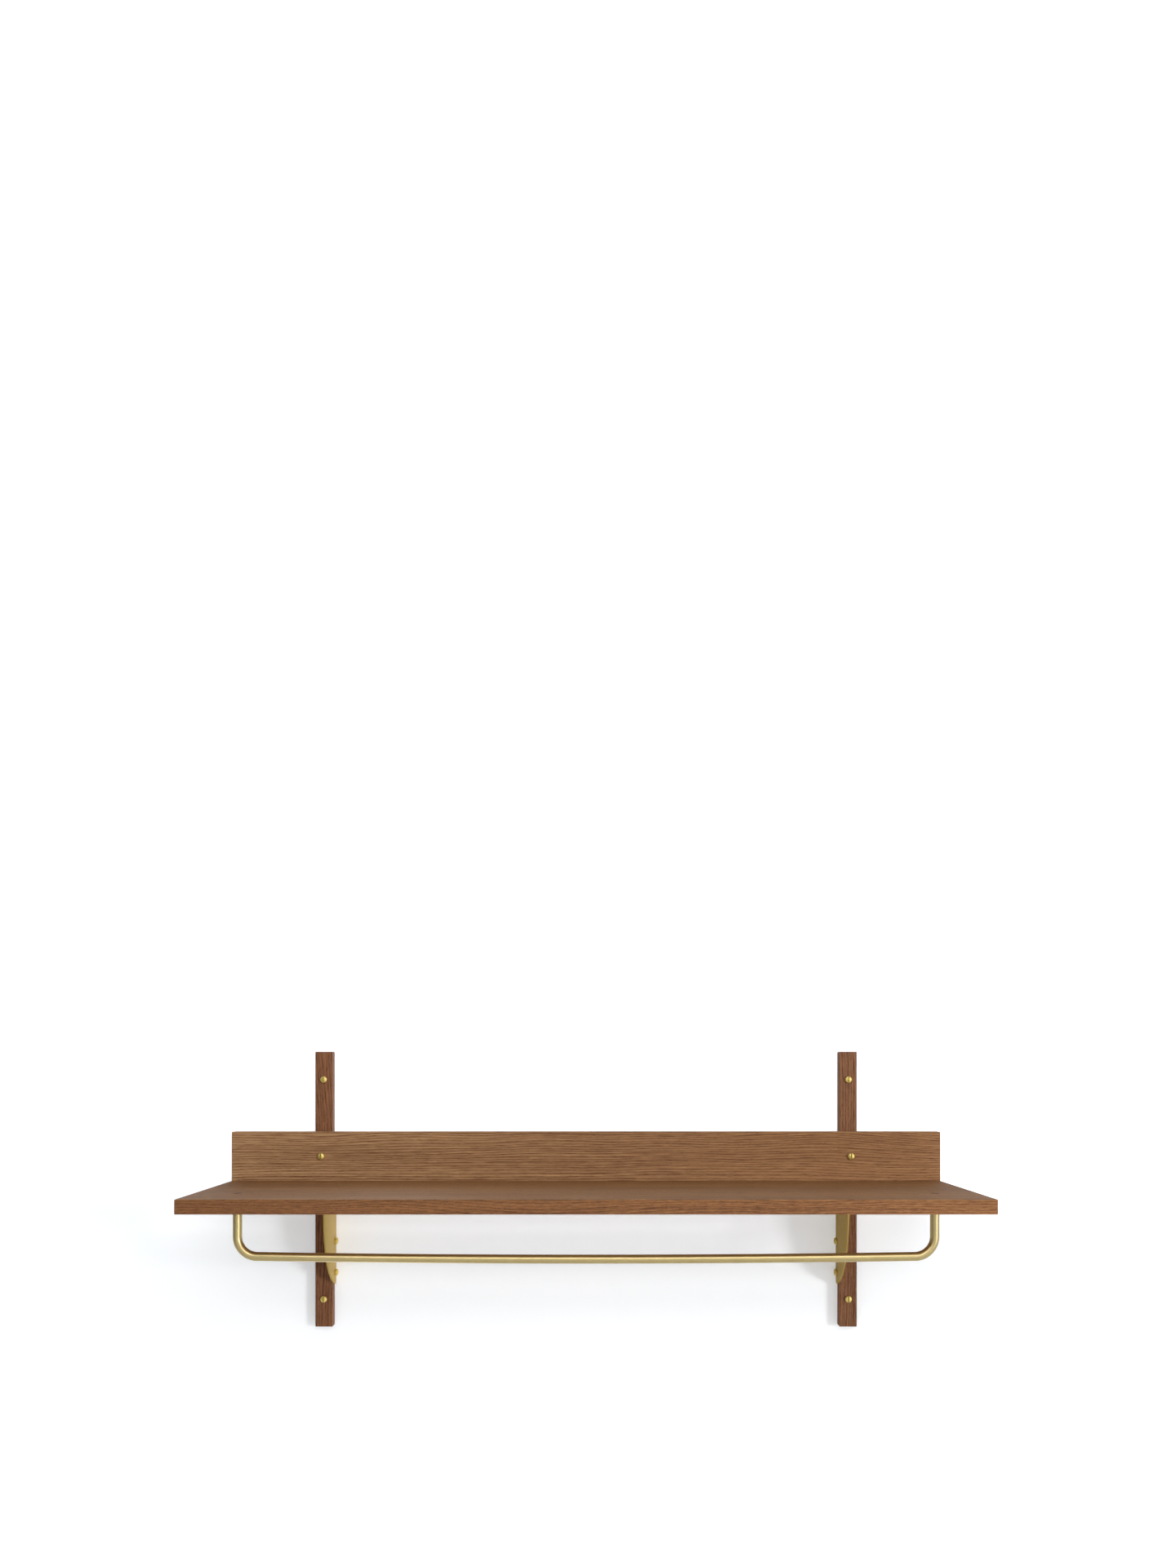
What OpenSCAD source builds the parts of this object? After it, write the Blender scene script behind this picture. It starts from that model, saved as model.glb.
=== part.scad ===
// Wall shelf with two wall rails, plate brackets, a backboard and a hanging rail.
// The wall is the plane y = 0 and the front looks along -Y. The origin is the
// middle of the four wall screws, on the wall.

/* [Shelf board] */
// Length of the shelf board and of the backboard
shelf_w = 870; // [820:10:1100]
// Depth of the shelf board, from its front edge to the backboard
shelf_d = 205; // [180:5:260]
// Thickness of the shelf board
shelf_t = 16; // [16:1:24]
// Height of the shelf's top face above the middle of the wall rails
shelf_top = 12; // [-20:1:30]
// Radius that eases every wood edge
ease_r = 1; // [0.5:0.25:2]

/* [Backboard] */
// Thickness of the backboard
back_t = 15; // [14:1:20]
// Height of the backboard above the shelf's top face
upstand = 60; // [40:1:85]
// Number of dowels between the shelf board and the backboard
dowel_count = 5; // [3:1:7]
// Diameter of a dowel
dowel_d = 6; // [5:1:8]
// Length of a dowel
dowel_len = 24; // [20:1:30]
// Depth of a dowel's hole in the backboard
dowel_in_back = 9; // [7:1:11]

/* [Wall rails] */
// Width of a wall rail
rail_w = 21.5; // [20:0.5:35]
// Thickness of a wall rail
rail_t = 14; // [14:1:22]
// Height of a wall rail
rail_h = 341; // [320:1:500]
// Distance between the middles of the two wall rails
rail_spacing = 650; // [500:10:700]
// Distance between the upper and the lower wall screw
wall_screw_pitch = 272; // [260:1:300]

/* [Brackets] */
// Thickness of the bracket's plate
plate_t = 2; // [1.5:0.5:3]
// How far the web reaches from the wall
web_d = 69; // [60:1:80]
// Gap between the wall and the web's rear edge
web_gap = 1; // [0.5:0.5:3]
// Height of the web's straight front edge, under the shelf
web_straight = 14; // [8:1:20]
// Radius of the upper sweep of the web's front edge
sweep_r1 = 140; // [130:5:160]
// Radius of the lower sweep of the web's front edge
sweep_r2 = 88; // [80:1:96]
// Angle that the upper sweep turns through
sweep_turn = 20; // [15:1:25]
// Radius of the web's lower tip
tip_r = 5; // [3:0.5:7]
// How far the flange reaches from the wall
flange_d = 120; // [90:5:160]
// Width of the flange, with the plate's bend
flange_w = 20; // [16:1:30]
// Outside radius of the bend between web and flange
fold_r = 3.5; // [3.25:0.25:5]
// Height of the upper web screw below the shelf's underside
web_screw_upper = 61; // [50:1:70]
// Height of the lower web screw below the shelf's underside
web_screw_lower = 100; // [90:1:105]

/* [Hanging rail] */
// Diameter of the rod
rod_d = 10; // [9:0.5:12]
// Distance between the middles of the rod's two legs
rod_span = 772; // [720:2:780]
// Drop from the shelf's underside to the middle of the rod
rod_drop = 57; // [50:1:90]
// How far the rod's middle hangs lower than its ends
rod_bow = 3; // [1:0.5:6]
// Radius of a bend, to the middle of the rod
bend_r = 22; // [18:1:30]
// Distance from the shelf's front edge to the rod
rod_setback = 62; // [40:1:72]
// Depth of the rod's socket in the shelf
socket_depth = 3; // [2:0.5:4]

/* [Screws and bolts] */
// Diameter of a screw's head
head_d = 8; // [7:0.5:9]
// Height of a screw's head, with its dome
head_h = 3.7; // [3.4:0.1:4]
// Height of the straight side of a screw's head, under its dome
head_side = 2.7; // [1.5:0.1:2.8]
// Width of a screw's slot
slot_w = 1.4; // [0.8:0.1:1.6]
// Depth of a screw's slot
slot_depth = 1.6; // [1:0.1:1.8]
// Outside diameter of a screw's thread
thread_d = 4.5; // [4.5:0.1:5]
// Diameter of a screw's plain shank
shank_d = 4; // [3.5:0.1:4]
// Length of a wall screw under its head
wall_screw_len = 60; // [50:5:80]
// Length of a backboard screw under its head
back_screw_len = 26; // [25:1:27]
// Length of a bracket screw under its head
bracket_screw_len = 14; // [12:1:15]
// Diameter of a plug over a rod bolt
plug_d = 9.2; // [9.2:0.1:12]
// Thickness of a plug over a rod bolt
plug_t = 4.5; // [3:0.5:5]
// Length of a rod bolt under its head
bolt_len = 20; // [16:1:25]

/* [Hidden] */
$fn = 96;
LEFT = -1;
RIGHT = 1;
UPPER = 1;
LOWER = -1;

WOOD = [0.47, 0.33, 0.24];
PLUG_WOOD = [0.40, 0.25, 0.18];
DOWEL_WOOD = [0.80, 0.66, 0.47];
BRASS = [0.72, 0.62, 0.40];
SCREW_BRASS = [0.82, 0.72, 0.42];
STEEL = [0.62, 0.63, 0.65];

eps = 0.5;               // how far a cutter runs past a face
clear = 0.1;             // gap round a piece in its hole, on the diameter
loose = 0.3;             // the same, round a wall screw and in a washer
arc_fn = 360;            // facets of the web's long arcs
bend_fn = 192;           // steps round a full turn of a rod bend
bend_ring_fn = 48;       // facets of the rod in its bends
shelf_under = shelf_top - shelf_t;
back_front = -(rail_t + back_t);
shelf_front = back_front - shelf_d;
rail_x = rail_spacing / 2;
rail_side = rail_x - rail_w / 2;
back_screw_z = shelf_top + upstand / 2;

// Screws: a dome over the head's full width, and a short plain tip
dome_h = head_h - head_side;
dome_r = (head_d * head_d / 4 + dome_h * dome_h) / (2 * dome_h);
point_len = 4;
point_d = 0.4;
wall_hole_d = thread_d + loose;
web_screw_y = -rail_t / 2;
flange_screw_rear = -48;
flange_screw_front = -104;
flange_screw_x = rail_side - flange_w / 2 - plate_t / 2;

// Web outline in (distance from the wall, height under the shelf): the upper
// sweep is upright where the straight edge ends, the lower one carries on at
// sweep_turn, and the tip touches the lower sweep and the rear edge
sweep_c1 = [web_d - sweep_r1, web_straight];
sweep_join = sweep_c1 + sweep_r1 * [cos(sweep_turn), sin(sweep_turn)];
sweep_c2 = sweep_join - sweep_r2 * [cos(sweep_turn), sin(sweep_turn)];
tip_x = web_gap + tip_r;
tip_h = sweep_c2.y + sqrt(pow(sweep_r2 - tip_r, 2) - pow(tip_x - sweep_c2.x, 2));
tip_turn = atan2(tip_h - sweep_c2.y, tip_x - sweep_c2.x);
tip_touch = sweep_c2 + sweep_r2 * [cos(tip_turn), sin(tip_turn)];
flange_corner_r = 6;

// Rod: its middle follows one long arc in short straight lengths, and the arc
// runs into the bends at bow_turn. A short sleeve a hair thicker than the rod
// bridges the gap between one length and the next
rod_y = shelf_front + rod_setback;
leg_x = rod_span / 2;
bend_x = leg_x - bend_r;
bow_turn = 2 * atan(rod_bow / bend_x);
bow_r = bend_r + bend_x / sin(bow_turn);
bow_z = shelf_under - rod_drop + bow_r;
bend_z = bow_z - (bow_r - bend_r) * cos(bow_turn);
leg_top = shelf_under + socket_depth;
joint_gap = 0.2;
sleeve_over = 0.04;
sleeve_d = rod_d + sleeve_over;
sleeve_len = 1;
bow_steps = 8;

// Rod bolt: a low cylinder head with a hexagon socket, on a washer
bolt_d = 4;
bolt_hole_d = bolt_d + 0.5;
bolt_head_d = 7;
bolt_head_h = 2.8;
hex_key = 2.5;
hex_depth = 1.6;
washer_t = 0.8;
washer_hole_d = bolt_d + loose;
washer_d = plug_d - loose;
bolt_seat = shelf_top - plug_t - bolt_head_h;
washer_seat = bolt_seat - washer_t;
tap_room = 1;
tapped_depth = bolt_len - (bolt_seat - leg_top) + tap_room;

dowel_z = shelf_top - shelf_t / 2;
dowel_margin = 35;
dowel_pitch = (shelf_w - 2 * dowel_margin) / (dowel_count - 1);
dowel_room = 0.5;
dowel_end = back_front + dowel_in_back - dowel_room;

// ---- Shared shapes ----

module on_side(side) {
    mirror([side == LEFT ? 1 : 0, 0, 0]) children();
}

module eased_rectangle(a, b) {
    square([a - 2 * ease_r, b], center = true);
    square([a, b - 2 * ease_r], center = true);
    for (sx = [-1, 1], sy = [-1, 1])
        translate([sx * (a / 2 - ease_r), sy * (b / 2 - ease_r)]) circle(ease_r);
}

// A board with all twelve edges eased, by its middle
module eased_board(size) {
    intersection() {
        linear_extrude(size.z, center = true) eased_rectangle(size.x, size.y);
        rotate([90, 0, 0]) linear_extrude(size.y, center = true) eased_rectangle(size.x, size.z);
        rotate([90, 0, 90]) linear_extrude(size.x, center = true) eased_rectangle(size.y, size.z);
    }
}

// A slotted wood screw with a low domed head: the seat is at z = 0 and the point is down
module wood_screw(len, plain) {
    difference() {
        intersection() {
            translate([0, 0, head_h - dome_r]) sphere(dome_r);
            cylinder(d = head_d, h = head_h);
        }
        translate([-slot_w / 2, -head_d / 2 - eps, head_h - slot_depth])
            cube([slot_w, head_d + 2 * eps, slot_depth + eps]);
    }
    translate([0, 0, -plain]) cylinder(d = shank_d, h = plain);
    translate([0, 0, point_len - len]) cylinder(d = thread_d, h = len - point_len - plain);
    translate([0, 0, -len]) cylinder(d1 = point_d, d2 = thread_d, h = point_len);
}

// Places for screws: the seat of each, with the screw's point towards the wood
module at_wall_screw(level) {
    translate([rail_x, -rail_t, level * wall_screw_pitch / 2]) rotate([90, 0, 0]) children();
}

module at_backboard_screw() {
    translate([rail_x, back_front, back_screw_z]) rotate([90, 0, 0]) children();
}

module at_web_screw(drop) {
    translate([rail_side - plate_t, web_screw_y, shelf_under - drop])
        rotate([0, -90, 0]) rotate([0, 0, 90]) children();
}

module at_flange_screw(y) {
    translate([flange_screw_x, y, shelf_under - plate_t]) rotate([180, 0, 0]) children();
}

module at_dowels() {
    for (i = [0 : dowel_count - 1])
        translate([dowel_margin - shelf_w / 2 + i * dowel_pitch, dowel_end, dowel_z])
            rotate([90, 0, 0]) children();
}

module at_rod_leg(z) {
    translate([leg_x, rod_y, z]) children();
}

// A hole for a screw, from its seat down
module screw_hole(len, d) {
    translate([0, 0, -len]) cylinder(d = d, h = len + eps);
}

// ---- Wood ----

module shelf_board() {
    color(WOOD) difference() {
        translate([0, back_front - shelf_d / 2, shelf_top - shelf_t / 2])
            eased_board([shelf_w, shelf_d, shelf_t]);
        at_dowels() translate([0, 0, -eps]) cylinder(d = dowel_d + clear, h = dowel_len + 2 * eps);
        for (side = [LEFT, RIGHT]) on_side(side) {
            at_rod_leg(washer_seat) cylinder(d = plug_d + clear, h = shelf_t);
            at_rod_leg(shelf_under - eps) cylinder(d = bolt_hole_d, h = shelf_t);
            at_rod_leg(shelf_under - eps) cylinder(d = rod_d + clear, h = socket_depth + eps);
            for (y = [flange_screw_rear, flange_screw_front])
                at_flange_screw(y) screw_hole(bracket_screw_len + eps, thread_d + clear);
        }
    }
}

module backboard() {
    color(WOOD) difference() {
        translate([0, -rail_t - back_t / 2, (shelf_top + upstand + shelf_under) / 2])
            eased_board([shelf_w, back_t, upstand + shelf_t]);
        at_dowels() translate([0, 0, -eps]) cylinder(d = dowel_d + clear, h = dowel_len);
        for (side = [LEFT, RIGHT]) on_side(side)
            at_backboard_screw() screw_hole(back_t + eps, thread_d + clear);
    }
}

module wall_rail(side) {
    color(WOOD) on_side(side) difference() {
        translate([rail_x, -rail_t / 2, 0]) eased_board([rail_w, rail_t, rail_h]);
        for (level = [UPPER, LOWER])
            at_wall_screw(level) screw_hole(rail_t + eps, wall_hole_d);
        at_backboard_screw() screw_hole(back_screw_len + eps, thread_d + clear);
        for (drop = [web_screw_upper, web_screw_lower])
            at_web_screw(drop) screw_hole(bracket_screw_len + eps, thread_d + clear);
    }
}

module backboard_dowels() {
    color(DOWEL_WOOD) at_dowels() cylinder(d = dowel_d, h = dowel_len);
}

module rod_plug(side) {
    color(PLUG_WOOD) on_side(side)
        at_rod_leg(shelf_top - plug_t) cylinder(d = plug_d, h = plug_t);
}

// ---- Brackets ----

// One sweep of the front edge, cut to the wall side of its own circle
module sweep(centre, r) {
    translate([-centre.x, -centre.y]) circle(r, $fn = arc_fn);
}

// The web's outline under the fold, in (-distance from the wall, -height)
module web_outline() {
    intersection() {
        sweep(sweep_c1, sweep_r1);
        polygon([
            [-web_gap, -web_straight], [-web_d - eps, -web_straight],
            [-web_d - eps, -sweep_join.y], [-web_gap, -sweep_join.y]
        ]);
    }
    intersection() {
        sweep(sweep_c2, sweep_r2);
        polygon([
            [-web_gap, -sweep_join.y], [-sweep_join.x, -sweep_join.y],
            [-sweep_join.x - eps, -tip_touch.y], [-tip_touch.x, -tip_touch.y], [-web_gap, -tip_h]
        ]);
    }
    translate([-tip_x, -tip_h]) circle(tip_r);
    translate([-web_d, -web_straight]) square([web_d - web_gap, web_straight - fold_r]);
}

module bracket(side) {
    fold_x = rail_side - fold_r;
    flange_len = flange_d - web_gap;
    color(BRASS) on_side(side) difference() {
        union() {
            translate([rail_side - plate_t, 0, shelf_under])
                rotate([90, 0, 90]) linear_extrude(plate_t) web_outline();
            // the bend between the web and the flange
            translate([fold_x, -web_gap, shelf_under - fold_r]) rotate([90, 0, 0])
                intersection() {
                    difference() {
                        cylinder(r = fold_r, h = web_d - web_gap);
                        translate([0, 0, -eps]) cylinder(r = fold_r - plate_t, h = web_d + eps);
                    }
                    translate([0, 0, -eps]) cube([fold_r, fold_r, web_d + eps]);
                }
            // the flange, with its two front corners rounded
            translate([rail_side - flange_w, -web_gap - flange_len, shelf_under - plate_t])
                linear_extrude(plate_t) {
                    translate([0, flange_corner_r])
                        square([flange_w - fold_r, flange_len - flange_corner_r]);
                    translate([flange_corner_r, 0])
                        square([flange_w - fold_r - 2 * flange_corner_r, flange_corner_r]);
                    for (x = [flange_corner_r, flange_w - fold_r - flange_corner_r])
                        translate([x, flange_corner_r]) circle(flange_corner_r);
                }
        }
        for (drop = [web_screw_upper, web_screw_lower])
            at_web_screw(drop) screw_hole(plate_t + eps, thread_d + clear);
        for (y = [flange_screw_rear, flange_screw_front])
            at_flange_screw(y) screw_hole(plate_t + eps, thread_d + clear);
    }
}

// ---- Hanging rail ----

// A point on the bow, as (x, z), at a turn from its lowest point
function bow_point(turn) = [bow_r * sin(turn), bow_z - bow_r * cos(turn)];

// A straight length of the rod between two points (x, z)
module rod_length(a, b) {
    run = b - a;
    translate([a.x, rod_y, a.y]) rotate([0, atan2(run.x, run.y), 0])
        translate([0, 0, joint_gap / 2]) cylinder(d = rod_d, h = norm(run) - joint_gap);
}

// The sleeve over a joint at p (x, z), where the rod has turned up from level
module rod_sleeve(p, turn) {
    translate([p.x, rod_y, p.y]) rotate([0, 90 - turn, 0])
        cylinder(d = sleeve_d, h = sleeve_len, center = true);
}

// The right-hand bend, from the end of the bow up to the leg
module rod_bend() {
    trim = joint_gap / 2 / bend_r * 180 / PI;
    translate([bend_x, rod_y, bend_z]) rotate([90, 0, 0])
        rotate_extrude(angle = 90 - bow_turn - 2 * trim, start = bow_turn - 90 + trim, $fn = bend_fn)
            translate([bend_r, 0]) circle(d = rod_d, $fn = bend_ring_fn);
}

module hanging_rail() {
    step = 2 * bow_turn / bow_steps;
    color(BRASS) difference() {
        union() {
            for (i = [0 : bow_steps - 1])
                rod_length(bow_point(i * step - bow_turn), bow_point((i + 1) * step - bow_turn));
            for (i = [0 : bow_steps])
                rod_sleeve(bow_point(i * step - bow_turn), i * step - bow_turn);
            for (side = [LEFT, RIGHT]) on_side(side) {
                rod_bend();
                rod_sleeve([leg_x, bend_z], 90);
                rod_length([leg_x, bend_z], [leg_x, leg_top + joint_gap / 2]);
            }
        }
        for (side = [LEFT, RIGHT]) on_side(side)
            at_rod_leg(leg_top - tapped_depth) cylinder(d = bolt_d + clear, h = tapped_depth + eps);
    }
}

module rod_bolt(side) {
    color(STEEL) on_side(side) difference() {
        union() {
            at_rod_leg(bolt_seat) cylinder(d = bolt_head_d, h = bolt_head_h);
            at_rod_leg(bolt_seat - bolt_len) cylinder(d = bolt_d, h = bolt_len);
        }
        at_rod_leg(bolt_seat + bolt_head_h - hex_depth)
            cylinder(r = hex_key / sqrt(3), h = hex_depth + eps, $fn = 6);
    }
}

module rod_washer(side) {
    color(STEEL) on_side(side) at_rod_leg(washer_seat) difference() {
        cylinder(d = washer_d, h = washer_t);
        translate([0, 0, -eps]) cylinder(d = washer_hole_d, h = washer_t + 2 * eps);
    }
}

// ---- Screws ----

module wall_screw(side, level) {
    color(SCREW_BRASS) on_side(side) at_wall_screw(level) wood_screw(wall_screw_len, rail_t);
}

module backboard_screw(side) {
    color(SCREW_BRASS) on_side(side) at_backboard_screw() wood_screw(back_screw_len, back_t);
}

module web_screw(side, drop) {
    color(SCREW_BRASS) on_side(side) at_web_screw(drop) wood_screw(bracket_screw_len, plate_t);
}

module flange_screw(side, y) {
    color(SCREW_BRASS) on_side(side) at_flange_screw(y) wood_screw(bracket_screw_len, plate_t);
}

shelf_board();
backboard();
wall_rail(LEFT);  // wall_rail_left
wall_rail(RIGHT);  // wall_rail_right
bracket(LEFT);  // bracket_left
bracket(RIGHT);  // bracket_right
hanging_rail();
wall_screw(LEFT, UPPER);  // wall_screw_upper_left
wall_screw(RIGHT, UPPER);  // wall_screw_upper_right
wall_screw(LEFT, LOWER);  // wall_screw_lower_left
wall_screw(RIGHT, LOWER);  // wall_screw_lower_right
backboard_screw(LEFT);  // backboard_screw_left
backboard_screw(RIGHT);  // backboard_screw_right
web_screw(LEFT, web_screw_upper);  // web_screw_upper_left
web_screw(RIGHT, web_screw_upper);  // web_screw_upper_right
web_screw(LEFT, web_screw_lower);  // web_screw_lower_left
web_screw(RIGHT, web_screw_lower);  // web_screw_lower_right
flange_screw(LEFT, flange_screw_rear);  // flange_screw_rear_left
flange_screw(RIGHT, flange_screw_rear);  // flange_screw_rear_right
flange_screw(LEFT, flange_screw_front);  // flange_screw_front_left
flange_screw(RIGHT, flange_screw_front);  // flange_screw_front_right
rod_bolt(LEFT);  // rod_bolt_left
rod_bolt(RIGHT);  // rod_bolt_right
rod_washer(LEFT);  // rod_washer_left
rod_washer(RIGHT);  // rod_washer_right
rod_plug(LEFT);  // rod_plug_left
rod_plug(RIGHT);  // rod_plug_right
backboard_dowels();
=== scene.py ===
"""Looks of a wall shelf with brackets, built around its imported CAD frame. All lengths are in metres."""
import math

import bmesh
import bpy
from mathutils import Matrix, Vector


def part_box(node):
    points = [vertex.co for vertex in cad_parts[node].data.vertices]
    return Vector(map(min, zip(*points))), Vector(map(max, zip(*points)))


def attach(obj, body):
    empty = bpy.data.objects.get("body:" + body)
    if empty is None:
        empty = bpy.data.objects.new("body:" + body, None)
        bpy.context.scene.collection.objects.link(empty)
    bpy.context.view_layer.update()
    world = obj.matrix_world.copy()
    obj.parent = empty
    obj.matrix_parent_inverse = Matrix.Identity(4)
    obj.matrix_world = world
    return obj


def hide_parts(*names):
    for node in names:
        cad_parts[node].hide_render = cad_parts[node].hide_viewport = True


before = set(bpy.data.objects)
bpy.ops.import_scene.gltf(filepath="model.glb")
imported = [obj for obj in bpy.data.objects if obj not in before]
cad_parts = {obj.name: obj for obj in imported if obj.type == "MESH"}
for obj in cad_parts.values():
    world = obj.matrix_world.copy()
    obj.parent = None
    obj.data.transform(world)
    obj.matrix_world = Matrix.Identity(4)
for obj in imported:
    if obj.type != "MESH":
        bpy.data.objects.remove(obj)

BODY = "root"
MM = 0.001
SIDES = {"left": -1, "right": 1}
SHARP = math.radians(35)

# Camera: level, straight in front of the wall, above the shelf
EYE = Vector((0.0, -1.493, 0.1535))
LENS = 27.39
SENSOR = 36.0
SHIFT = (0.00125, 0.1795)

# Stage
WALL_GAP = 0.3 * MM
STAGE_SIZE = 9.0
FLOOR_Z = -0.56
WALL_PAINT = (0.845, 0.87, 0.895, 1)
FLOOR_PAINT = (0.88, 0.875, 0.86, 1)
DIM_LEFT = (0.034, 0.033, 0.032, 1)
DIM_RIGHT = (0.10, 0.10, 0.10, 1)
WHITE = (1, 1, 1, 1)

# The wall's own light: weakest round the height GLOW_DIP_Z, and seen by reflections only in one patch
GLOW_TINT = (0.98, 1.0, 1.02, 1)
GLOW_LOW = 0.30
GLOW_HIGH = 0.72
GLOW_DIP_Z = -0.15
GLOW_FADE = (0.10, 0.20)
GLEAM = 1.4
GLEAM_X_IN = (-0.40, -0.36)
GLEAM_X_OUT = (-0.23, -0.13)

# Hanging rail, where the frame's box doesn't say it
ROD_BOW = 3 * MM
BEND_R = 22 * MM
ROD_SIDES = 48
BOW_STEPS = 48
BEND_STEPS = 24
LEG_STEPS = 8
ROD_CHAMFER = 0.5 * MM
TAP_R = 2.05 * MM
TAP_DEPTH = 12.9 * MM
ROD_PLACE = "straightened"

# Brackets
PLATE_T = 2 * MM
WEB_D = 69 * MM
WEB_STRAIGHT = 14 * MM
SWEEP_R1 = 140 * MM
SWEEP_R2 = 88 * MM
SWEEP_TURN = math.radians(20)
TIP_R = 5 * MM
FOLD_R = 3.5 * MM
FLANGE_CORNER_R = 6 * MM
PLATE_HOLE_R = 2.3 * MM
PLATE_EDGE = 0.3 * MM
RIM_TURN = math.radians(60)
FOLD_LEN = (FOLD_R - PLATE_T / 2) * math.pi / 2  # the fold's length on the plate's middle
FOLD_STEPS = 10
CORNER_STEPS = 8
UPPER_STEPS = 24
LOWER_STEPS = 40
TIP_STEPS = 16
HOLE_SIDES = 24

# Screws
HEAD_R = 4 * MM
HEAD_H = 3.7 * MM
HEAD_SIDE = 2.7 * MM
HEAD_EDGE = 0.2 * MM
DOME_EASE_IN = 0.1 * MM
DOME_EASE_DOWN = 0.25 * MM
DOME_STEPS = 10
SLOT_W = 1.4 * MM
SLOT_DEPTH = 1.6 * MM
SHANK_R = 2 * MM
THREAD_R = 2.25 * MM
ROOT_R = 1.5 * MM
PITCH = 2 * MM
POINT_LEN = 4 * MM
POINT_POWER = 0.8
SCREW_SIDES = 32
WELD = 0.002 * MM

# Wood
MID_TONE = 0.54
PORE_SHADE = 0.55
END_SHADE = 0.5
# Where the painted light and shade on a long board's front runs from its left end to its right
PAINTED_LIGHT_X = (-0.4, 0.4)

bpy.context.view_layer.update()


# ---- Frame ----

def middle(node):
    """The middle of a CAD node's box."""
    low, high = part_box(node)
    return (low + high) / 2


# ---- Meshes ----

def piece(name, bm, material, slot, *nodes):
    """A piece from a bmesh in the row frame, which rides on the body and stands for its CAD nodes."""
    bmesh.ops.recalc_face_normals(bm, faces=bm.faces)
    mesh = bpy.data.meshes.new(name)
    bm.to_mesh(mesh)
    bm.free()
    for face in mesh.polygons:
        face.use_smooth = True
    mesh.set_sharp_from_angle(angle=SHARP)
    mesh.materials.append(material)
    made = bpy.data.objects.new(name, mesh)
    bpy.context.scene.collection.objects.link(made)
    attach(made, BODY)
    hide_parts(*nodes)
    return made


def ring(bm, centre, out, up, radius, sides):
    """A circle of vertices round centre, in the plane of out and up."""
    return [
        bm.verts.new(centre + radius * (math.cos(a) * out + math.sin(a) * up))
        for a in (math.tau * i / sides for i in range(sides))
    ]


def skin(bm, rings):
    """Joins each ring of vertices to the next with quads."""
    for one, two in zip(rings, rings[1:]):
        for i in range(len(one)):
            j = (i + 1) % len(one)
            bm.faces.new((one[i], one[j], two[j], two[i]))


# ---- Hanging rail ----

def rod_path(leg_x, leg_top, low_z):
    """Points and directions along the rod's middle, in (x, z), from the left leg's top to the right's."""
    bend_x = leg_x - BEND_R
    turn = 2 * math.atan(ROD_BOW / bend_x)
    bow_r = BEND_R + bend_x / math.sin(turn)
    bow_z = low_z + bow_r
    bend_z = bow_z - (bow_r - BEND_R) * math.cos(turn)
    half = []
    for i in range(BOW_STEPS + 1):
        a = turn * i / BOW_STEPS
        half.append(((bow_r * math.sin(a), bow_z - bow_r * math.cos(a)), a))
    for i in range(1, BEND_STEPS + 1):
        a = turn + (math.pi / 2 - turn) * i / BEND_STEPS
        half.append(((bend_x + BEND_R * math.sin(a), bend_z - BEND_R * math.cos(a)), a))
    for i in range(1, LEG_STEPS + 1):
        half.append(((leg_x, bend_z + (leg_top - bend_z) * i / LEG_STEPS), math.pi / 2))
    left = [((-x, z), -a) for (x, z), a in reversed(half[1:])]
    return left + half


def hanging_rail(material):
    """The bent rod, with a tapped hole up each leg. ROD_PLACE holds its points as on a straight rod."""
    low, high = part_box("hanging_rail")
    radius = (high.y - low.y) / 2
    rod_y = (high.y + low.y) / 2
    path = rod_path(high.x - radius, high.z, low.z + radius)
    bm = bmesh.new()
    straight = bm.verts.layers.float_vector.new(ROD_PLACE)
    across = Vector((0, 1, 0))

    def circle(index, r, inward=0.0):
        (x, z), a = path[index]
        along = Vector((math.cos(a), 0, math.sin(a)))
        out = Vector((math.sin(a), 0, -math.cos(a)))
        back = inward if index == 0 else -inward
        return ring(bm, Vector((x, rod_y, z)) + along * back, out, across, r, ROD_SIDES)

    def end(index):
        """Rings of a leg's end, from the tapped hole's bottom out to the chamfer."""
        return [
            circle(index, TAP_R, TAP_DEPTH),
            circle(index, TAP_R, ROD_CHAMFER),
            circle(index, TAP_R + ROD_CHAMFER),
            circle(index, radius - ROD_CHAMFER),
        ]

    first, last = end(0), end(-1)
    body = [circle(0, radius, ROD_CHAMFER)]
    body += [circle(i, radius) for i in range(1, len(path) - 1)]
    body += [circle(-1, radius, ROD_CHAMFER)]
    rings = first + body + last[::-1]
    skin(bm, rings)
    bm.faces.new(first[0])
    bm.faces.new(last[0])
    run, before = 0.0, None
    for one in rings:
        centre = sum((v.co for v in one), Vector()) / ROD_SIDES
        run += (centre - before).length if before else 0.0
        before = centre
        for i, v in enumerate(one):
            a = math.tau * i / ROD_SIDES
            v[straight] = Vector((run, radius * math.cos(a), radius * math.sin(a)))
    piece("hanging_rail_rod", bm, material, "rod_brass", "hanging_rail")


# ---- Brackets ----

def arc(centre, radius, start, stop, steps):
    """Points on an arc, both ends included."""
    return [
        centre + radius * Vector((math.cos(a), math.sin(a)))
        for a in (start + (stop - start) * i / steps for i in range(steps + 1))
    ]


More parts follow.
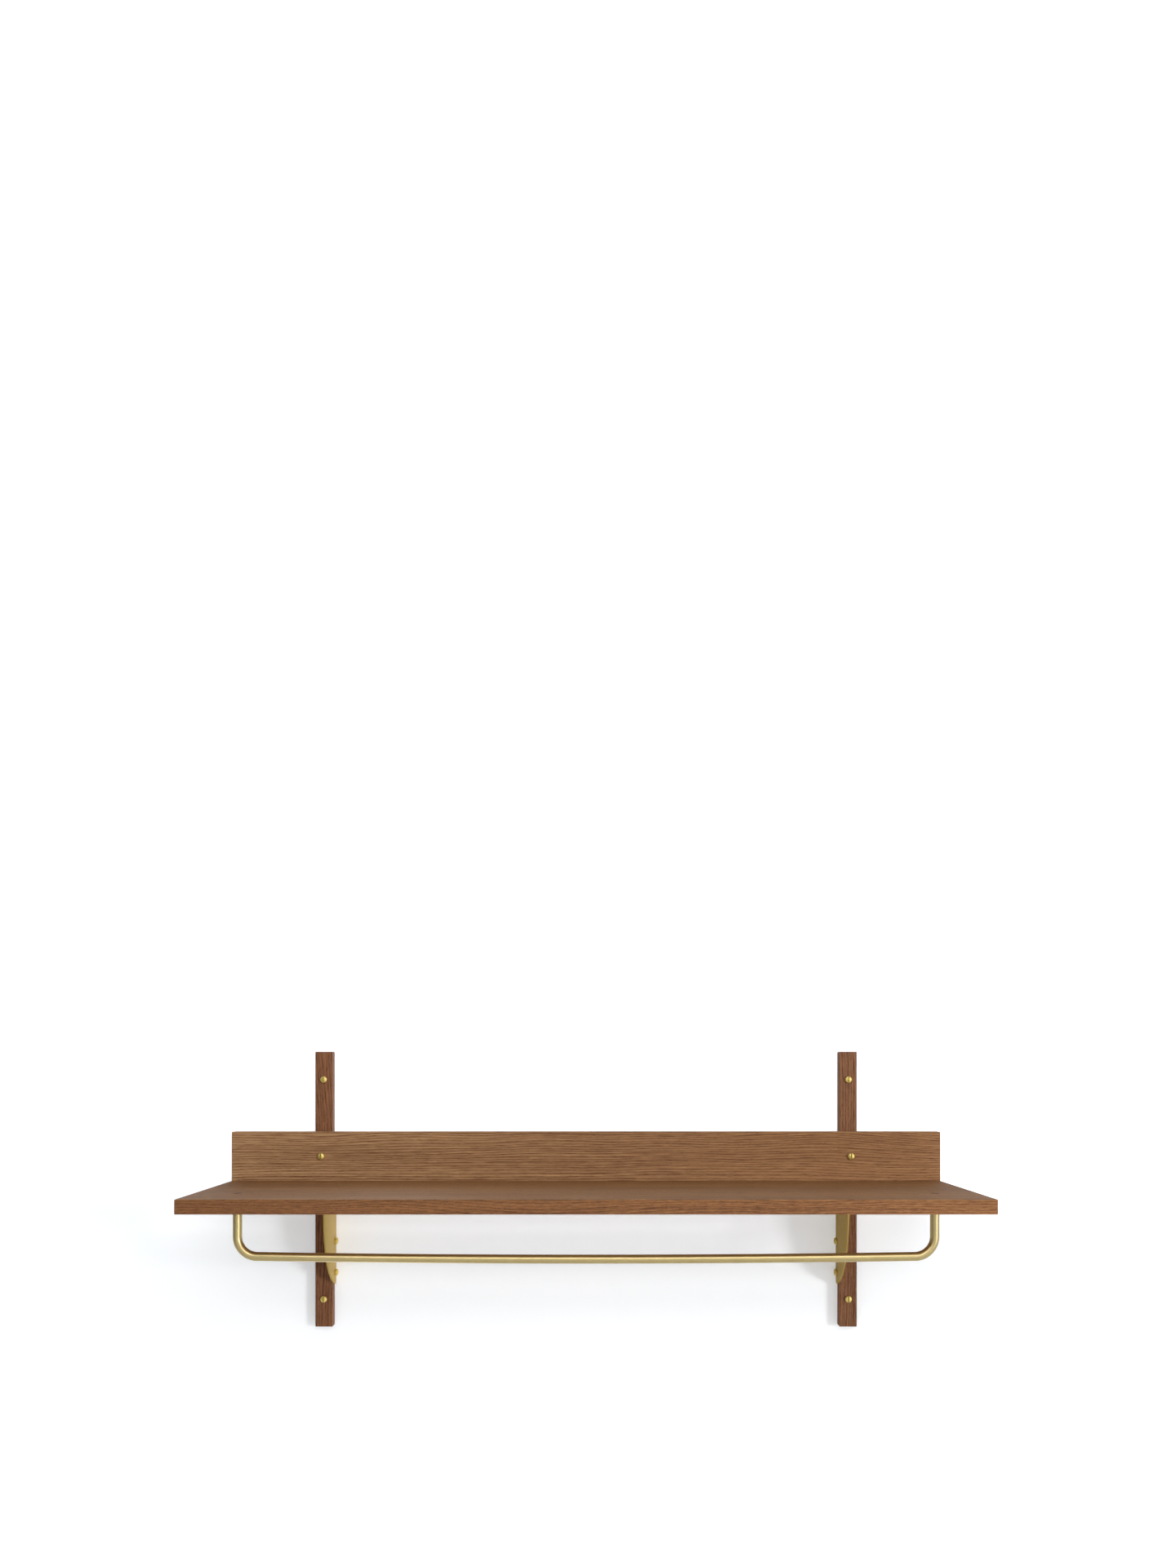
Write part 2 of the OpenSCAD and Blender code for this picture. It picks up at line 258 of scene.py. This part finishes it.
def plate_outline(rear, flange_w, flange_d):
    """The flat plate's outline, in (distance from the wall, distance down the web from the fold).

    Down is negative past the fold, where the flange is."""
    upper_c = Vector((WEB_D - SWEEP_R1, WEB_STRAIGHT + FOLD_LEN - FOLD_R))
    along = Vector((math.cos(SWEEP_TURN), math.sin(SWEEP_TURN)))
    lower_c = upper_c + (SWEEP_R1 - SWEEP_R2) * along
    tip_x = rear + TIP_R
    reach = SWEEP_R2 - TIP_R
    tip_c = Vector((tip_x, lower_c.y + math.sqrt(reach**2 - (tip_x - lower_c.x) ** 2)))
    tip_turn = math.atan2(tip_c.y - lower_c.y, tip_c.x - lower_c.x)
    inner = FOLD_R - flange_w
    corner = FLANGE_CORNER_R
    near_c = Vector((flange_d - corner, -corner))
    far_c = Vector((flange_d - corner, inner + corner))
    right = math.pi / 2
    return (
        [Vector((rear, inner))]
        + arc(far_c, corner, -right, 0, CORNER_STEPS)
        + arc(near_c, corner, 0, right, CORNER_STEPS)
        + [Vector((WEB_D, 0))]
        + arc(upper_c, SWEEP_R1, 0, SWEEP_TURN, UPPER_STEPS)
        + arc(lower_c, SWEEP_R2, SWEEP_TURN, tip_turn, LOWER_STEPS)[1:]
        + arc(tip_c, TIP_R, tip_turn, math.pi, TIP_STEPS)[1:]
    )


def folded(point):
    """A point of the flat plate (distance from the wall, down, depth in the plate) after bending.

    It comes back as (distance across from the rail, distance from the wall, drop below the shelf)."""
    reach, down, depth = point
    if down <= 0:
        return Vector((FOLD_R - down, reach, depth))
    if down >= FOLD_LEN:
        return Vector((depth, reach, FOLD_R + down - FOLD_LEN))
    turn = math.pi / 2 * down / FOLD_LEN
    r = FOLD_R - depth
    return Vector((FOLD_R - r * math.sin(turn), reach, FOLD_R - r * math.cos(turn)))


def add_loop(bm, points):
    """A closed loop of edges at depth 0 of the flat plate."""
    verts = [bm.verts.new((p.x, p.y, 0)) for p in points]
    return [bm.edges.new((verts[i - 1], verts[i])) for i in range(len(verts))]


def plate_hole(bm, reach, down):
    """The edges of a screw hole in the flat plate."""
    return add_loop(bm, arc(Vector((reach, down)), PLATE_HOLE_R, 0, math.tau, HOLE_SIDES)[1:])


def bracket(side, material):
    """A plate that is cut flat, with its holes, and then folded into a web and a flange."""
    node = "bracket_" + side
    sign = SIDES[side]
    low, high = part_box(node)
    rear = -high.y
    rail_x = high.x if sign > 0 else low.x
    bm = bmesh.new()
    edges = add_loop(bm, plate_outline(rear, high.x - low.x, -low.y))
    for level in ("upper", "lower"):
        hole = middle(f"web_screw_{level}_{side}")
        edges += plate_hole(bm, -hole.y, high.z - hole.z - FOLD_R + FOLD_LEN)
    for level in ("rear", "front"):
        hole = middle(f"flange_screw_{level}_{side}")
        edges += plate_hole(bm, -hole.y, FOLD_R - abs(rail_x - hole.x))
    bmesh.ops.triangle_fill(bm, edges=edges, use_beauty=True, use_dissolve=False, normal=(0, 0, 1))
    grown = bmesh.ops.extrude_face_region(bm, geom=bm.faces[:], use_keep_orig=True)
    raised = [v for v in grown["geom"] if isinstance(v, bmesh.types.BMVert)]
    bmesh.ops.translate(bm, verts=raised, vec=(0, 0, PLATE_T))
    bmesh.ops.recalc_face_normals(bm, faces=bm.faces)
    rims = [e for e in bm.edges if e.calc_face_angle(0) > RIM_TURN]
    bmesh.ops.bevel(bm, geom=rims, offset=PLATE_EDGE, segments=2, profile=0.5, affect="EDGES")
    for i in range(FOLD_STEPS + 1):
        cut = Vector((0, FOLD_LEN * i / FOLD_STEPS, 0))
        whole = bm.verts[:] + bm.edges[:] + bm.faces[:]
        bmesh.ops.bisect_plane(bm, geom=whole, plane_co=cut, plane_no=(0, 1, 0))
    for v in bm.verts:
        out, reach, drop = folded(v.co)
        v.co = (rail_x - sign * out, -reach, high.z - drop)
    piece(node + "_plate", bm, material, "bracket_brass", node)


# ---- Screws ----

def thread(bm, top_z, tip_z):
    """A wood screw's thread, from its shank down to its point. The caller welds its seam and its tip."""
    phases = (0.0, 0.34, 0.5, 0.6, 0.76)  # where in a turn each row of vertices lies
    crest_rows = (2, 3)
    root_fade = 0.6 * PITCH
    turns = math.ceil((top_z - tip_z) / PITCH) + 1

    def radius(z, crest):
        if z <= tip_z:
            return 0.0
        taper = min(1.0, (z - tip_z) / POINT_LEN)
        root = SHANK_R + (ROOT_R - SHANK_R) * min(1.0, (top_z - z) / root_fade)
        top = SHANK_R + (THREAD_R - SHANK_R) * min(1.0, (top_z - z) / PITCH)
        return (top if crest else root) * taper**POINT_POWER

    def vertex(row, column):
        turn, k = divmod(row, len(phases))
        z = top_z - (turn + phases[k] + column / SCREW_SIDES) * PITCH
        z = min(max(z, tip_z), top_z)
        r = radius(z, k in crest_rows)
        a = math.tau * column / SCREW_SIDES
        return bm.verts.new((r * math.cos(a), r * math.sin(a), z))

    first, last = -len(phases), turns * len(phases)
    rows = [[vertex(row, column) for column in range(SCREW_SIDES + 1)] for row in range(first, last)]
    for one, two in zip(rows, rows[1:]):
        for i in range(SCREW_SIDES):
            bm.faces.new((one[i], one[i + 1], two[i + 1], two[i]))


def screw_solid(length, plain):
    """A screw without its slot, as a bmesh: seat at z = 0, a low dome on the head and the point down."""
    bm = bmesh.new()
    dome_h = HEAD_H - HEAD_SIDE
    dome_r = (HEAD_R**2 + dome_h**2) / (2 * dome_h)
    widest = math.asin(HEAD_R / dome_r)
    profile = [
        (dome_r * math.sin(a), HEAD_H - dome_r * (1 - math.cos(a)))
        for a in (widest * i / DOME_STEPS for i in range(1, DOME_STEPS))
    ]
    edge = HEAD_EDGE
    profile += [(HEAD_R - DOME_EASE_IN, HEAD_SIDE), (HEAD_R, HEAD_SIDE - DOME_EASE_DOWN)]
    profile += [(HEAD_R, edge), (HEAD_R - edge / 3, edge / 3), (HEAD_R - edge, 0.0)]
    profile += [(SHANK_R + edge, 0.0), (SHANK_R, -edge), (SHANK_R, -plain)]
    x_axis, y_axis = Vector((1, 0, 0)), Vector((0, 1, 0))
    rings = [ring(bm, Vector((0, 0, z)), x_axis, y_axis, r, SCREW_SIDES) for r, z in profile]
    skin(bm, rings)
    pole = bm.verts.new((0, 0, HEAD_H))
    for i in range(SCREW_SIDES):
        bm.faces.new((pole, rings[0][i], rings[0][(i + 1) % SCREW_SIDES]))
    thread(bm, -plain, -length)
    bmesh.ops.remove_doubles(bm, verts=bm.verts, dist=WELD)
    bmesh.ops.dissolve_degenerate(bm, edges=bm.edges, dist=WELD)
    bmesh.ops.recalc_face_normals(bm, faces=bm.faces)
    return bm


def temporary(name, bm):
    """An object that only lasts while a shape is cut."""
    mesh = bpy.data.meshes.new(name)
    bm.to_mesh(mesh)
    bm.free()
    made = bpy.data.objects.new(name, mesh)
    bpy.context.scene.collection.objects.link(made)
    return made


def slotted_screw(length, plain):
    """The mesh of a screw with its slot cut across the head, along y. The slot's faces have material 1, for
    the painted shade in the slot.
    """
    cutter_bm = bmesh.new()
    size = Matrix.Diagonal((SLOT_W, 3 * HEAD_R, SLOT_DEPTH * 2, 1))
    bmesh.ops.create_cube(cutter_bm, size=1, matrix=Matrix.Translation((0, 0, HEAD_H)) @ size)
    for face in cutter_bm.faces:
        face.material_index = 1
    cutter = temporary("slot_cutter", cutter_bm)
    solid = temporary("screw_blank", screw_solid(length, plain))
    for blank in (cutter, solid):
        for _ in range(2):
            blank.data.materials.append(None)
    cut = solid.modifiers.new("slot", "BOOLEAN")
    cut.operation = "DIFFERENCE"
    cut.solver = "EXACT"
    cut.object = cutter
    graph = bpy.context.evaluated_depsgraph_get()
    mesh = bpy.data.meshes.new_from_object(solid.evaluated_get(graph))
    for made in (cutter, solid):
        bpy.data.objects.remove(made)
    return mesh


def screw_pose(node, head, slot_along):
    """The matrix that points a screw's head along head, and seats it where its CAD node is."""
    low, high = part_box(node)
    tall = (high - low).dot(Vector(map(abs, head)))
    seat = middle(node) + head * (tall / 2 - HEAD_H)
    across = slot_along.cross(head)
    turn = Matrix((across, slot_along, head)).transposed().to_4x4()
    return Matrix.Translation(seat) @ turn


def screws(material, slot_shade_material):
    """Every screw, each as long as its CAD node. A web screw's head points away from its rail."""
    front, up, under = Vector((0, -1, 0)), Vector((0, 0, 1)), Vector((0, 0, -1))
    rail_t = -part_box("wall_rail_left")[0].y
    board_t = -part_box("backboard")[0].y - rail_t
    # node's first words, its levels, head direction, slot direction, plain length under the head
    kinds = (
        ("wall_screw", ("_upper", "_lower"), front, up, rail_t),
        ("backboard_screw", ("",), front, up, board_t),
        ("web_screw", ("_upper", "_lower"), None, up, PLATE_T),
        ("flange_screw", ("_rear", "_front"), under, Vector((0, 1, 0)), PLATE_T),
    )
    for name, levels, head, slot_along, plain in kinds:
        for side, sign in SIDES.items():
            towards = head or Vector((-sign, 0, 0))
            for level in levels:
                node = f"{name}{level}_{side}"
                low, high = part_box(node)
                length = (high - low).dot(Vector(map(abs, towards))) - HEAD_H
                bm = bmesh.new()
                bm.from_mesh(slotted_screw(length, plain))
                bmesh.ops.transform(bm, matrix=screw_pose(node, towards, slot_along), verts=bm.verts)
                made = piece(node + "_brass", bm, material, "screw_brass", node)
                # The slot's faces get the darker brass: painted shade in the slot
                made.data.materials.append(slot_shade_material)


# ---- Materials ----

def linear(red, green, blue):
    """A colour from its 0 to 255 display values."""
    values = (c / 255 for c in (red, green, blue))
    return (*(c / 12.92 if c <= 0.04045 else ((c + 0.055) / 1.055) ** 2.4 for c in values), 1.0)


class Graph:
    """A material's node tree, with short calls that add a node and give back its output."""

    def __init__(self, name):
        self.material = bpy.data.materials.new(name)
        self.material.use_nodes = True
        self.tree = self.material.node_tree
        self.shader = self.tree.nodes["Principled BSDF"]

    def add(self, kind, inputs, output=0, **settings):
        node = self.tree.nodes.new("ShaderNode" + kind)
        for key, value in settings.items():
            setattr(node, key, value)
        for key, value in inputs.items():
            self.feed(node.inputs[key], value)
        return node.outputs[output]

    def feed(self, socket, value):
        if isinstance(value, bpy.types.NodeSocket):
            self.tree.links.new(value, socket)
        else:
            socket.default_value = value

    def math(self, operation, one, two=0.0):
        return self.add("Math", {0: one, 1: two}, operation=operation)

    def blend(self, factor, one, two, kind="MIX"):
        sockets = {0: factor, 6: one, 7: two}
        return self.add("Mix", sockets, output=2, data_type="RGBA", blend_type=kind)

    def noise(self, vector, scale, detail=2.0, roughness=0.5, output="Fac"):
        sockets = {"Vector": vector, "Scale": scale, "Detail": detail, "Roughness": roughness}
        return self.add("TexNoise", sockets, output=output)

    def vector(self, operation, one, two=(0, 0, 0), output="Vector"):
        return self.add("VectorMath", {0: one, 1: two}, output=output, operation=operation)

    def stretched(self, vector, stretch):
        return self.vector("MULTIPLY", vector, stretch)

    def axes(self, vector):
        """A vector's X, Y and Z."""
        parts = self.tree.nodes.new("ShaderNodeSeparateXYZ")
        self.feed(parts.inputs[0], vector)
        return parts.outputs

    def ramp(self, value, low, high, to_low=0.0, to_high=1.0):
        """value from low to high, eased at both ends, as to_low to to_high."""
        sockets = {"Value": value, "From Min": low, "From Max": high, "To Min": to_low, "To Max": to_high}
        return self.add("MapRange", sockets, interpolation_type="SMOOTHSTEP")

    def finish(self, **sockets):
        """Sets the shader's own sockets, whose names are written with _ for a space."""
        for key, value in sockets.items():
            self.feed(self.shader.inputs[key.replace("_", " ")], value)
        return self.material


def grain_place(g, upright):
    """Object coordinates as (along the grain, across, across)."""
    place = g.add("TexCoord", {}, output="Object")
    if not upright:
        return place
    x, y, z = g.axes(place)
    return g.add("CombineXYZ", {0: z, 1: x, 2: y})


def rings_of(g, place, pith, spacing, wander):
    """Growth rings round a wandering pith line: 0 to 1 across each ring."""
    drift = g.noise(g.stretched(place, (3.2, 9, 9)), 1.0, 1.0, output="Color")
    centred = g.vector("SUBTRACT", drift, (0.5, 0.5, 0.5))
    moved = g.vector("ADD", place, g.stretched(centred, (0, wander, wander)))
    from_pith = g.vector("SUBTRACT", moved, (0, *pith))
    radius = g.vector("LENGTH", g.stretched(from_pith, (0, 1, 1)), output="Value")
    uneven = g.noise(g.stretched(moved, (3, 160, 160)), 1.0, 1.0)
    radius = g.math("ADD", radius, g.math("MULTIPLY", uneven, 1.6 * spacing))
    return g.math("FRACT", g.math("DIVIDE", radius, spacing))


def grain_marks(g, place, ring_at, dash, lines, contrast):
    """The marks of the grain, as (tone from dark 0 to light 1, pores, fibre)."""
    pale = g.math("MULTIPLY", g.ramp(ring_at, 0.0, 0.10), g.ramp(ring_at, 0.16, 0.42, 1.0, 0.0))
    late = g.math("MULTIPLY", g.ramp(ring_at, 0.45, 0.90), g.ramp(ring_at, 0.93, 1.0, 1.0, 0.0))
    streak = g.noise(g.stretched(place, (3.5, 260, 260)), 1.0, 2.0, 0.55)
    fibre = g.noise(g.stretched(place, (dash * 0.8, 1000, 1000)), 1.0, 2.0, 0.6)
    broken = g.noise(g.stretched(place, (dash, 620, 620)), 1.0, 1.0)
    cloud = g.noise(g.stretched(place, (1.3, 14, 14)), 1.0, 2.0)
    pores_at = g.noise(g.stretched(place, (dash * 3.5, 2300, 2300)), 1.0, 1.0)
    pores = g.ramp(g.math("ADD", pores_at, g.math("MULTIPLY", late, 0.12)), 0.60, 0.78)
    pale = g.math("MULTIPLY", pale, g.ramp(broken, 0.42, 0.62, 0.25, 1.0))
    late = g.math("MULTIPLY", late, g.ramp(broken, 0.36, 0.60, 1.0, 0.30))
    # mark, the value at which it changes nothing, weight
    marks = (
        (pale, 0.0, 0.42 * lines),
        (late, 0.0, -0.50 * lines),
        (streak, 0.5, 0.75),
        (fibre, 0.5, 1.35),
        (cloud, 0.5, 0.70),
    )
    tone = MID_TONE
    for mark, centre, weight in marks:
        step = g.math("MULTIPLY", g.math("SUBTRACT", mark, centre), weight * contrast)
        tone = g.math("ADD", step, tone)
    return g.math("MAXIMUM", g.math("MINIMUM", tone, 1.0), 0.0), pores, fibre


def paint_front_light(g, colour, grain, normal, painted_light_ends):
    """The colour, with painted light and shade on its front face: colours that run from a board's left end
    to its right multiply it.
    """
    left_to_right = g.ramp(g.axes(grain)[0], *PAINTED_LIGHT_X)
    painted_front = g.blend(1.0, colour, g.blend(left_to_right, *painted_light_ends), "MULTIPLY")
    front = g.vector("DOT_PRODUCT", normal, (0, -1, 0), output="Value")
    return g.blend(g.ramp(front, 0.3, 0.8), colour, painted_front)


def wood(name, upright, offset, pith, spacing, dark, light, pore,
         contrast=1.0, lines=1.0, dash=14, wander=0.045, painted_light_ends=None):
    """Oiled oak: growth rings with a pale porous line and a dark one, streaks, fibre and short pores.

    lines is how strong the rings are, dash is how many pores follow each other in a metre, and the end
    colours multiply the front of a long board at its left and right ends, as painted light and shade."""
    g = Graph(name)
    grain = grain_place(g, upright)
    place = g.vector("ADD", grain, offset)
    ring_at = rings_of(g, place, pith, spacing, wander)
    tone, pores, fibre = grain_marks(g, place, ring_at, dash, lines, contrast)
    colour = g.blend(tone, dark, light)
    colour = g.blend(g.math("MULTIPLY", pores, PORE_SHADE), colour, pore)
    normal = g.add("TexCoord", {}, output="Normal")
    # Painted light and shade along the front of a long board
    if painted_light_ends:
        colour = paint_front_light(g, colour, grain, normal, painted_light_ends)
    grain_way = (0, 0, 1) if upright else (1, 0, 0)
    facing = g.vector("DOT_PRODUCT", normal, grain_way, output="Value")
    end_grain = g.ramp(g.math("ABSOLUTE", facing), 0.6, 0.95)
    colour = g.blend(g.math("MULTIPLY", end_grain, END_SHADE), colour, pore)
    height = g.math("SUBTRACT", g.math("MULTIPLY", fibre, 0.35), pores)
    bump = g.add("Bump", {"Strength": 0.3, "Distance": 0.1 * MM, "Height": height})
    rough = g.ramp(g.math("ADD", g.math("MULTIPLY", pores, 0.5), fibre), 0.2, 1.2, 0.52, 0.78)
    return g.finish(Base_Color=colour, Roughness=rough, Normal=bump, Specular_IOR_Level=0.2)


def satin_metal(name, base, shade, roughness, stretch, place_name=None, lacquer=0.0):
    """Satin brass or steel: fine lines from drawing or brushing, and a faint uneven tone.

    place_name is the mesh attribute to place them by, if it isn't the row frame."""
    g = Graph(name)
    if place_name:
        place = g.add("Attribute", {}, output="Vector", attribute_name=place_name)
    else:
        place = g.add("TexCoord", {}, output="Object")
    lines = g.noise(g.stretched(place, stretch), 1.0, 3.0, 0.65)
    cloud = g.noise(place, 38.0, 3.0, 0.6)
    tone = g.math("ADD", g.math("MULTIPLY", lines, 0.45), g.math("MULTIPLY", cloud, 0.55))
    colour = g.blend(g.ramp(tone, 0.3, 0.7), shade, base)
    rough = g.ramp(lines, 0.25, 0.75, roughness - 0.05, roughness + 0.07)
    bump = g.add("Bump", {"Strength": 0.12, "Distance": 0.02 * MM, "Height": lines})
    return g.finish(Base_Color=colour, Roughness=rough, Normal=bump, Metallic=1.0,
                    Coat_Weight=lacquer, Coat_Roughness=0.2)


def paint_node(node, material):
    """Gives a CAD node that stays in view its material."""
    mesh_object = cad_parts[node]
    for slot in mesh_object.material_slots:
        slot.material = material


def boards():
    """The two boards and the two rails, which keep their CAD shape, each cut from its own log, some with
    painted light and shade in their colours.
    """
    brown = {"dark": linear(122, 79, 47), "light": linear(205, 160, 114), "pore": linear(95, 53, 32)}
    olive = {"dark": linear(95, 59, 33), "light": linear(176, 127, 79), "pore": linear(67, 39, 22)}
    # The left rail's colours are a darker copy of the right rail's: painted shade on the left rail and
    # painted light on the right one
    left_red_shaded = {"dark": linear(80, 45, 26), "light": linear(149, 101, 68), "pore": linear(54, 30, 19)}
    right_red_lit = {"dark": linear(86, 50, 30), "light": linear(161, 113, 78), "pore": linear(58, 33, 20)}
    # Painted light and shade on the fronts: the backboard's is darker towards its right end, the shelf's
    # darker at its left end and brighter at its right
    right_end_shade = ((0.93, 0.96, 0.98, 1), (0.74, 0.66, 0.59, 1))
    left_shade_right_light = ((0.68, 0.60, 0.61, 1), (1.10, 1.04, 1.09, 1))
    rail = {"contrast": 1.1, "lines": 0.7, "dash": 70, "wander": 0.04}
    shelf = wood("oak_shelf", False, (0.3, 0.0, 0.0), (0.05, -0.3), 2.0 * MM, **olive,
                 lines=0.6, dash=105, wander=0.024, painted_light_ends=left_shade_right_light)
    back = wood("oak_backboard", False, (2.1, 0.4, 0.2), (0.4, 0.02), 3.1 * MM, **brown,
                contrast=0.82, dash=44, wander=0.034, painted_light_ends=right_end_shade)
    left = wood("oak_rail_left", True, (4.2, 0.0, 0.6), (0.1, 0.7), 3.4 * MM, **left_red_shaded, **rail)
    right = wood("oak_rail_right", True, (6.0, 0.7, 0.1), (0.5, 0.2), 3.4 * MM, **right_red_lit, **rail)
    paint_node("shelf_board", shelf)
    paint_node("backboard", back)
    paint_node("wall_rail_left", left)
    paint_node("wall_rail_right", right)


def small_parts():
    """Hidden and tiny pieces, which keep their CAD shape."""
    plug = wood("oak_plug", True, (1.0, 0.2, 0.3), (0.2, 0.1), 2.2 * MM,
                dark=linear(82, 43, 27), light=linear(118, 67, 44), pore=linear(50, 28, 18))
    beech = wood("beech", False, (3.0, 0.1, 0.5), (0.0, 0.3), 3.0 * MM, contrast=0.6,
                 dark=linear(178, 140, 100), light=linear(214, 180, 138), pore=linear(150, 112, 78))
    steel = satin_metal("zinc_steel", linear(196, 198, 202), linear(160, 162, 168), 0.34, (900, 900, 120))
    for side in SIDES:
        paint_node("rod_plug_" + side, plug)
        paint_node("rod_bolt_" + side, steel)
        paint_node("rod_washer_" + side, steel)
    paint_node("backboard_dowels", beech)


# ---- Stage, lights and camera ----

def plane(name, corners, material):
    mesh = bpy.data.meshes.new(name)
    mesh.from_pydata(corners, [], [(0, 1, 2, 3)])
    mesh.materials.append(material)
    made = bpy.data.objects.new(name, mesh)
    bpy.context.scene.collection.objects.link(made)


def wall_light(g, path):
    """How strongly the wall shines: everywhere for the camera, and in one left patch for reflections."""
    x, _, z = g.axes(g.add("TexCoord", {}, output="Object"))
    patch = g.math("MULTIPLY", g.ramp(x, *GLEAM_X_OUT, GLEAM, 0.0), g.ramp(x, *GLEAM_X_IN))
    seen = g.math("MULTIPLY", path.outputs["Is Glossy Ray"], patch)
    seen = g.math("ADD", path.outputs["Is Camera Ray"], seen)
    from_dip = g.math("ABSOLUTE", g.math("SUBTRACT", z, GLOW_DIP_Z))
    return g.math("MULTIPLY", seen, g.ramp(from_dip, *GLOW_FADE, GLOW_LOW, GLOW_HIGH))


def wall_material():
    """White, with some light of its own. From behind, and for shadows, it isn't there."""
    g = Graph("wall_white")
    g.tree.nodes.remove(g.shader)
    paint = g.add("BsdfDiffuse", {"Color": WALL_PAINT})
    path = g.tree.nodes.new("ShaderNodeLightPath")
    glow = g.add("Emission", {"Color": GLOW_TINT, "Strength": wall_light(g, path)})
    lit = g.add("AddShader", {0: paint, 1: glow})
    clear = g.add("BsdfTransparent", {})
    behind = g.add("NewGeometry", {}, output="Backfacing")
    open_to = g.math("MAXIMUM", behind, path.outputs["Is Shadow Ray"])
    mixed = g.add("MixShader", {0: open_to, 1: lit, 2: clear})
    g.tree.links.new(mixed, g.tree.nodes["Material Output"].inputs["Surface"])
    return g.material


def floor_material():
    g = Graph("floor_pale")
    return g.finish(Base_Color=FLOOR_PAINT, Roughness=0.8)


def make_stage():
    half = STAGE_SIZE / 2
    wall = [(x, WALL_GAP, z) for x, z in ((-half, FLOOR_Z), (half, FLOOR_Z), (half, half), (-half, half))]
    floor = [(x, y, FLOOR_Z) for x, y in ((-half, -half), (half, -half), (half, half), (-half, half))]
    plane("wall", wall, wall_material())
    plane("floor", floor, floor_material())


def make_world():
    """A dim room, warmer and darker to the left, and plain white where the camera looks past the stage."""
    world = bpy.data.worlds.new("studio")
    world.use_nodes = True
    bpy.context.scene.world = world
    tree = world.node_tree
    ground = tree.nodes["Background"]
    way = tree.nodes.new("ShaderNodeTexCoord")
    parts = tree.nodes.new("ShaderNodeSeparateXYZ")
    sideways = tree.nodes.new("ShaderNodeMapRange")
    tone = tree.nodes.new("ShaderNodeMix")
    seen = tree.nodes.new("ShaderNodeMix")
    path = tree.nodes.new("ShaderNodeLightPath")
    for mix in (tone, seen):
        mix.data_type = "RGBA"
    sideways.inputs["From Min"].default_value = -1.0
    tone.inputs[6].default_value = DIM_LEFT
    tone.inputs[7].default_value = DIM_RIGHT
    seen.inputs[7].default_value = WHITE
    tree.links.new(way.outputs["Generated"], parts.inputs[0])
    tree.links.new(parts.outputs["X"], sideways.inputs["Value"])
    tree.links.new(sideways.outputs[0], tone.inputs[0])
    tree.links.new(tone.outputs[2], seen.inputs[6])
    tree.links.new(path.outputs["Is Camera Ray"], seen.inputs[0])
    tree.links.new(seen.outputs[2], ground.inputs["Color"])


def softbox(name, place, target, size, power):
    """A rectangular lamp that points at target, and that the camera doesn't see."""
    lamp = bpy.data.lights.new(name, "AREA")
    lamp.shape = "RECTANGLE"
    lamp.size, lamp.size_y = size
    lamp.energy = power
    made = bpy.data.objects.new(name, lamp)
    made.location = place
    made.rotation_euler = (Vector(target) - Vector(place)).to_track_quat("-Z", "Y").to_euler()
    made.visible_camera = False
    bpy.context.scene.collection.objects.link(made)


def make_lights():
    softbox("key", (7.5, -7.4, 0.6), (0, -0.1, 0), (1.9, 1.7), 405)
    softbox("front_strip", (0.3, -2.3, 1.25), (0.1, -0.1, 0), (2.8, 0.8), 27)
    softbox("front_card", (-0.3, -3.0, 0.05), (0, 0, 0.05), (3.8, 1.3), 10)
    softbox("left_card", (-2.6, -1.9, 0.1), (0, -0.1, 0), (1.6, 1.6), 0.8)
    softbox("top_fill", (0.6, -1.2, 2.4), (0, -0.1, 0), (2.2, 1.0), 5)
    softbox("rear_fill", (-0.6, 2.4, 1.0), (0, 0, 0), (2.0, 1.5), 20)


def make_camera():
    lens = bpy.data.cameras.new("camera")
    lens.sensor_width = SENSOR
    lens.lens = LENS
    lens.shift_x, lens.shift_y = SHIFT
    lens.clip_end = 50
    camera = bpy.data.objects.new("camera", lens)
    camera.location = EYE
    camera.rotation_euler = (math.radians(90), 0, 0)
    bpy.context.scene.collection.objects.link(camera)
    bpy.context.scene.camera = camera


def build():
    bpy.context.scene.view_settings.view_transform = "Standard"
    make_camera()
    make_stage()
    make_world()
    make_lights()
    rod = satin_metal("rod_brass", linear(208, 188, 134), linear(199, 179, 125), 0.38, (9, 1400, 1400),
                      ROD_PLACE, lacquer=0.5)
    plate = satin_metal("bracket_brass", linear(196, 169, 101), linear(188, 161, 93), 0.62, (900, 200, 900))
    screw = satin_metal("screw_brass", linear(240, 220, 144), linear(230, 209, 128), 0.58, (600,) * 3)
    # The slot's darker brass is painted shade in the recess
    slot_shade = satin_metal("screw_slot_painted_shade", linear(196, 173, 86), linear(182, 159, 74), 0.55, (600,) * 3)
    hanging_rail(rod)
    for side in SIDES:
        bracket(side, plate)
    screws(screw, slot_shade)
    boards()
    small_parts()


build()
